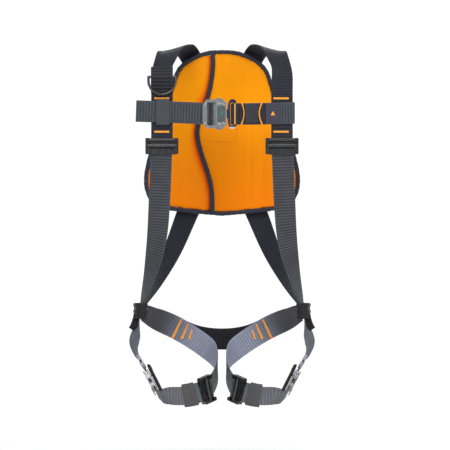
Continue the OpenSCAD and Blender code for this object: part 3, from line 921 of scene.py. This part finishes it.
def build_pad(mats):
    rim = closed_outline(BINDING - 1.5)
    front_near = REAR_THICK + 0.6
    left_ring, right_ring = cut_at_flap(rim, -1, 0.8), cut_at_flap(rim, 1, 0.8)
    channels = [[(x, 95 - abs(x) * 0.5), (x * 1.25, -190)] for x in (-62, 62)] + [[(0, 120), (0, -205)]]
    parts = {}
    for name, ring, near, far, seams, most, material in (
        ("pad_rear_panel", rim, 0.8, REAR_THICK - 0.6, channels, 2.2, mats["mesh"]),
        ("pad_left_flap", left_ring, front_near, REAR_THICK + FLAP_THICK - 1.5, [], 4.0, mats["lining"]),
        ("pad_right_flap", right_ring, front_near, REAR_THICK + FLAP_THICK + 0.5, [], 4.5, mats["lining"]),
    ):
        piece = pillow_mesh(name + "_padding", ring, near, far, material)
        puff(piece, ring, seams, 4.0, most)
        if "flap" in name:
            shape_front(piece, "left" in name)
        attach(piece, "harness")
        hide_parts(name)
        parts[name] = piece
    outline = closed_outline(BINDING / 2)
    loop = np.concatenate([outline, outline[:1]])
    front_face = REAR_THICK + FLAP_THICK
    rim_tape = edge_tape("pad_edge_tape", loop, -1.4, front_face + 3, BINDING, mats["binding"], True)
    inside = spline(FLAP_LINE, 8)
    inside = inside[(inside[:, 1] < 130.5) & (inside[:, 1] > -211.5)]
    flap_tape = edge_tape(
        "flap_edge_tape", inside, front_face - 1, front_face + 5.5, BINDING, mats["binding"], False
    )
    for piece, node in ((rim_tape, "pad_binding"), (flap_tape, "flap_binding")):
        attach(piece, "harness")
        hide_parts(node)
    parts["rim_tape"], parts["flap_tape"] = rim_tape, flap_tape
    return parts


# --- straps


def hold(piece, body, slot, *nodes):
    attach(piece, body)
    if nodes:
        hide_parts(*nodes)
    return piece


def folded(front):
    """A loop of (x, z) pairs round a bar: its front half and the same half behind."""
    return front + [(x, -z) for x, z in reversed(front[:-1])]


def build_straps(mats):
    made = {}
    behind = np.array(MAIN, float)
    behind[:, 1] += np.where(behind[:, 1] > 95, 3, 0)
    for side, sign in SIDES:
        main = MAIN if sign > 0 else mirrored(behind)
        made["main_" + side] = hold(
            tape(f"main_strap_{side}_webbing", main, mats["webbing"], soften=22),
            "harness", "webbing", f"main_strap_{side}",
        )
        made["lower_" + side] = hold(
            tape(f"lower_strap_{side}_webbing", sided(LOWER, sign), mats["webbing_strong"], rib=0.28),
            "harness", "webbing", f"lower_strap_{side}",
        )
        made["thigh_" + side] = hold(
            tape(f"thigh_strap_{side}_webbing", sided(THIGH, sign), mats["thigh"], rib=0.12, facing=sign),
            "harness", "webbing", f"thigh_strap_{side}",
        )
        hip = tape(f"hip_strap_{side}_webbing", sided(HIP, sign), mats["hip"], rib=0.06, wander=0.15)
        made["hip_" + side] = hip
        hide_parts(f"hip_strap_{side}")
        start, end = sided([HIP[0][:3], HIP[-1][:3]], sign) * MM
        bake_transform(hip)
        loop = folded([(62, 1.9), (54, 2.2), (46, 3.0), (40, 2.9), (36.4, 0)])
        made["loop_" + side] = hold(
            tape(
                f"thigh_tongue_loop_{side}", sided(local_route(THIGH_BUCKLE, loop, 0.97), sign), mats["pale"],
                thick=1.8, rib=0.05, step=0.8, wander=0,
            ),
            f"thigh_tongue_{side}", "webbing",
        )
    made["seat"] = hold(
        tape("seat_strap_webbing", SEAT, mats["seat"], rib=0.2), "harness", "dark_webbing", "seat_strap"
    )
    made["chest_left"] = hold(
        tape("chest_strap_left_webbing", CHEST_L, mats["webbing_chest"], rib=0.2, wander=0.1),
        "chest_half", "webbing", "chest_strap_left",
    )
    made["chest_right"] = hold(
        tape("chest_strap_right_webbing", CHEST_R, mats["webbing_chest"], rib=0.2, wander=0.1),
        "harness", "webbing", "chest_strap_right",
    )
    loop = folded([(58, 2.0), (52, 2.4), (46, 3.1), (38, 3.0), (34.2, 0)])
    made["loop_chest"] = hold(
        tape(
            "chest_tongue_loop", local_route(CHEST, loop, 0.97), mats["sternal"],
            thick=1.8, rib=0.05, step=0.8, wander=0,
        ),
        "harness", "webbing",
    )
    made["sternal"] = hold(
        tape("sternal_loop_webbing", STERNAL, mats["sternal"], rib=0.06, wander=0),
        "harness", "webbing", "sternal_loop",
    )
    return made


def build_sleeves(mats):
    chest = [(x, -106.2, -1.5, 0, 0, 1) for x in (-137, -130, -116, -109)]
    hold(
        sleeve("chest_sleeve_band", chest, mats["elastic"], (54.6, 8.2), (51.6, 5.2)),
        "harness", "webbing", "chest_sleeve",
    )
    for side, sign in SIDES:
        _, whole = even(spline(THIGH), 1.0)
        off = np.linalg.norm(whole[:, :3] - np.array(SLEEVE_SPAN), axis=1)
        middle = int(off.argmin())
        part = whole[middle - 14 : middle + 15 : 4]
        hold(
            sleeve(f"thigh_sleeve_{side}_band", sided(part, sign), mats["sleeve"], (49.5, 7.2), (46.6, 4.4)),
            "harness", "sleeve_fabric", f"thigh_sleeve_{side}",
        )
        guard = [(-29, -10.6), (-14, -10.4), (2, -10.5), (20, -10.2), (30, -10.6), (33, -11.5)]
        hold(
            tape(
                f"thigh_guard_{side}_strip", sided(local_route(THIGH_BUCKLE, guard), sign), mats["guard"],
                width=49, thick=6.4, rib=0.15, pitch=4.0, wander=0,
            ),
            "harness", "sleeve_fabric", f"thigh_guard_{side}",
        )


# --- run

add_studio()

# the first colour is painted shade for the thigh straps' other face between the legs
BACK_FACE_SHADE, GREY = (0.008, 0.009, 0.012), ((0.05, 0.054, 0.06), (0.165, 0.175, 0.195))
BLUE_DARK, BLUE_LIGHT = (0.13, 0.145, 0.20), (0.31, 0.335, 0.43)
mats = {
    # painted shade: the main straps get a darker copy of the chest and lower straps' webbing, standing for
    # the shade over the shoulders and down the back
    "webbing": webbing("webbing", (0.006, 0.0065, 0.011), (0.035, 0.037, 0.056)),
    "webbing_strong": webbing("webbing_ribbed", (0.02, 0.021, 0.026), (0.105, 0.11, 0.13)),
    "webbing_chest": webbing("webbing_chest", (0.022, 0.026, 0.033), (0.095, 0.105, 0.13)),
    "keeper": webbing("webbing_keeper", (0.006, 0.006, 0.008), (0.045, 0.046, 0.055), pitch=8.0),
    "seat": webbing("webbing_black", (0.003, 0.003, 0.005), (0.024, 0.024, 0.03)),
    "hip": webbing("webbing_grey", (0.06, 0.068, 0.08), (0.16, 0.175, 0.205), pitch=3.0,
                   tint=(96, 106, (0.26, 0.27, 0.34), (0.46, 0.47, 0.56))),
    "pale": webbing("webbing_pale", (0.26, 0.27, 0.34), (0.5, 0.51, 0.62), pitch=3.0),
    "sternal": webbing("webbing_loop", (0.008, 0.009, 0.014), (0.04, 0.042, 0.055), pitch=3.0),
    "lining": lining("orange_lining"),
    "mesh": mesh_fabric("spacer_mesh"),
    "binding": smooth_fabric("edge_tape", (0.012, 0.014, 0.026), (0.045, 0.05, 0.075), pitch=1.3),
    "elastic": smooth_fabric("elastic_band", (0.035, 0.04, 0.046), (0.075, 0.085, 0.095), pitch=1.5),
    "sleeve": smooth_fabric("sleeve_cloth", (0.05, 0.048, 0.05), (0.105, 0.102, 0.105), pitch=1.5),
    "guard": smooth_fabric("guard_cloth", (0.004, 0.004, 0.005), (0.02, 0.02, 0.022), pitch=2.0, sheen=0.15),
    "orange": thread("orange_thread", (0.9, 0.25, 0.01), (1.0, 0.48, 0.06)),
    "amber": thread("amber_thread", (0.75, 0.28, 0.03), (0.95, 0.55, 0.14)),
    "navy_thread": thread("navy_thread", (0.02, 0.022, 0.04), (0.09, 0.095, 0.14)),
    "rust": thread("rust_thread", (0.55, 0.10, 0.0), (0.72, 0.17, 0.01)),
    "black_metal": coated_metal("black_coating", (0.006, 0.006, 0.008), (0.014, 0.014, 0.018)),
    "steel": brushed("brushed_steel", (0.17, 0.18, 0.19), (0.40, 0.42, 0.43), rough=0.27),
    "rivet": brushed("rivet_steel", (0.45, 0.46, 0.48), (0.66, 0.67, 0.69), (300, 300, 300), 0.18),
    "tongue": tongue_metal("tongue_steel"),
    "knurl": knurled("grip_plate", (0.03, 0.045, 0.045), (0.22, 0.27, 0.26)),
    "plastic": plastic("black_plastic", (0.006, 0.006, 0.008), (0.02, 0.02, 0.025)),
    "slider": plastic("slider_plastic", (0.008, 0.0085, 0.015), (0.02, 0.021, 0.034), 0.42),
    "green": plastic("green_mark", (0.02, 0.22, 0.12), (0.04, 0.35, 0.2)),
    "label": label_film("label_film"),
}
mats["thigh"] = webbing(
    "webbing_thigh", (0.03, 0.03, 0.036), (0.085, 0.085, 0.1), twill=True,
    tint=(55, 165, BLUE_DARK, BLUE_LIGHT), reverse=(BACK_FACE_SHADE, GREY),
)

straps = build_straps(mats)
build_sleeves(mats)
pad = build_pad(mats)


def orange_marks():
    """Bar tacks and sewn arcs on the straps."""
    front = Target(straps["main_left"], straps["main_right"])
    for side, sign in SIDES:
        x0, x1 = (-141, -110) if sign > 0 else (107, 139)
        for name, z in (("upper", 27.3), ("lower", -42)):
            line = [(x0, z), (x1, z)]
            tack(f"shoulder_tack_{name}_{side}", front, line, (4.4, 4.4), mats["orange"], "harness")
        loops = Target(straps["thigh_" + side])
        for number, line, widths in (
            (1, [(-86, -436), (-105, -476)], (3.8, 6.0)),
            (2, [(-72, -446), (-85, -477)], (3.4, 5.6)),
            (3, [(-63.5, -458), (-69.5, -477)], (3.0, 5.2)),
        ):
            tack(f"thigh_tack_{number}_{side}", loops, sided(line, sign), widths, mats["orange"], "harness")
    chest = Target(straps["chest_right"], straps["sternal"], straps["loop_chest"])
    bend = np.linspace(-1, 1, 13)
    tack("tongue_tack", chest, [(27, 17), (27, -27)], (2.6, 2.6), mats["amber"], "harness")
    for name, middle, bow in (("left", 46, -6), ("right", 77.5, 7)):
        arc = [(middle + bow * t * t, -4 + 24 * t) for t in bend]
        tack(f"arc_tack_{name}", chest, arc, (3.2, 3.2), mats["orange"], "harness")


def buckle_plate(name, place, body, side=1):
    """The grip plate and its green mark on a buckle's cover, and two raised bars on the chest's."""
    plate = [(x + 13.5, y) for x, y in rounded_rect(17, 34, 3.5)]
    dot = [(14.6 + 2.1 * math.cos(a), 1.85 + 2.1 * math.sin(a)) for a in np.arange(24) * math.pi / 12]
    relief = [("grip", plate, -0.4, 0.7, "knurl", 0.4), ("mark", dot, 0.3, 1.1, "green", 0.2)]
    for number, y in enumerate((-21.5, 21.5) if body == "chest_half" else ()):
        bar = [(px + 10.5, py + y) for px, py in rounded_rect(9, 2.6, 1.2)]
        relief.append((f"bar_{number}", bar, -0.4, 0.8, "rivet", 0.3))
    for part, outline, z0, z1, material, bevel in relief:
        piece = slab_piece(
            f"{name}_{part}", place, outline, COVER_TOP + z0, COVER_TOP + z1, mats[material], side, bevel
        )
        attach(piece, body)


def small_parts():
    """Woven keeper of the shoulder ring, wrapped hip knots, buckle plates and the label's mark."""
    keeper = [
        (-125, y, z, 1, 0, 0)
        for y, z in (
            (-99.5, 92), (-105, 84), (-112.6, 74), (-112.8, 68), (-108, 58), (-104.5, 48), (-103, 38),
        )
    ]
    hold(
        tape(
            "ring_keeper_webbing", keeper, mats["keeper"],
            width=46, thick=2.6, pitch=8.0, rib=0.9, step=0.6, wander=0.1,
        ),
        "harness", "dark_webbing", "ring_keeper",
    )
    for side, sign in SIDES:
        knot = [(-171, -5, z, 0.12, -1, 0) for z in (-400, -408, -416, -424, -433)]
        hold(
            sleeve(f"hip_knot_{side}", sided(knot, sign), mats["seat"], (60, 26), (57, 21), pucker=0.9),
            "harness", "dark_webbing", f"hip_link_{side}",
        )
        tail = [(-178, -14, -424, 1, 0.1, 0), (-180, -17, -434, 1, 0.1, 0), (-184, -19, -446, 1, 0.2, 0.1),
                (-190, -19, -455, 0.9, 0.2, 0.3)]
        hold(
            tape(
                f"hip_tail_{side}", sided(tail, sign), mats["seat"],
                width=15, thick=2.0, pitch=4.0, wander=0.1,
            ),
            "harness", "dark_webbing",
        )
        buckle_plate(f"thigh_buckle_{side}", THIGH_BUCKLE, "harness", sign)
    buckle_plate("chest_buckle", CHEST, "chest_half")
    label = placed((106, -108.7, -4), (1, 0, 0), (0, 0, 1))
    triangle = [(-4.6, -4), (4.6, -4), (0, 4.6)]
    mark = slab_piece("label_mark", label, triangle, -0.1, 0.35, mats["orange"], bevel=0.15)
    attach(mark, "harness")


def pad_stitching():
    """The sewn outline under the buckle and the rows along the edge tapes."""
    front = Target(pad["pad_right_flap"], pad["pad_left_flap"])
    patch = [(-41, -58), (28.5, -61.5), (32, -30), (32, 20)]
    stitches(
        "pad_patch_seam", front, [patch[k : k + 2] for k in range(3)],
        mats["rust"], "harness", radius=0.4,
    )
    tapes = Target(pad["rim_tape"], pad["flap_tape"])
    rim = closed_outline(BINDING - 2.2)
    loop = [np.concatenate([rim, rim[:1]])]
    for name, toward in (("front", 1.0), ("back", -1.0)):
        stitches(f"rim_seam_{name}", tapes, loop, mats["navy_thread"], "harness", toward=toward)
    edge = spline(FLAP_LINE, 8)
    edge = edge[(edge[:, 1] < 122) & (edge[:, 1] > -203)]
    stitches("flap_seam", tapes, [edge + [2.4, 0]], mats["navy_thread"], "harness")
    back = Target(pad["pad_rear_panel"])
    rows = [[(x, 90 - abs(x) * 0.5), (x * 1.25, -185)] for x in (-62, 0, 62)]
    stitches("channel_seams", back, rows, mats["navy_thread"], "harness", toward=-1.0)


orange_marks()
pad_stitching()
small_parts()

# CAD nodes that stay, with their finishes
FINISH = {
    "black_metal": ["shoulder_ring", "chest_roller", "thigh_roller_", "front_adjuster_", "thigh_adjuster_",
                    "front_bar_", "thigh_bar_"],
    "steel": ["dorsal_ring", "chest_base", "chest_cover", "chest_lever_", "thigh_base_", "thigh_cover_",
              "thigh_lever_", "thigh_tongue_"],
    "rivet": ["chest_rivets", "thigh_rivets_"],
    "tongue": ["chest_tongue"],
    "plastic": ["dorsal_plate"],
    "slider": ["sternal_slider"],
    "label": ["chest_label"],
}


def dress(obj, material):
    obj.data.materials.clear()
    obj.data.materials.append(material)


for finish, starts in FINISH.items():
    for name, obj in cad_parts.items():
        if not obj.hide_render and any(name.startswith(start) for start in starts):
            dress(obj, mats[finish])

floor = make_object(
    "floor", [(x, y, FLOOR_Z) for x, y in ((-FAR, -FAR), (FAR, -FAR), (FAR, BACK_EDGE), (-FAR, BACK_EDGE))],
    [(0, 1, 2, 3)], floor_paint("floor_paint"),
)
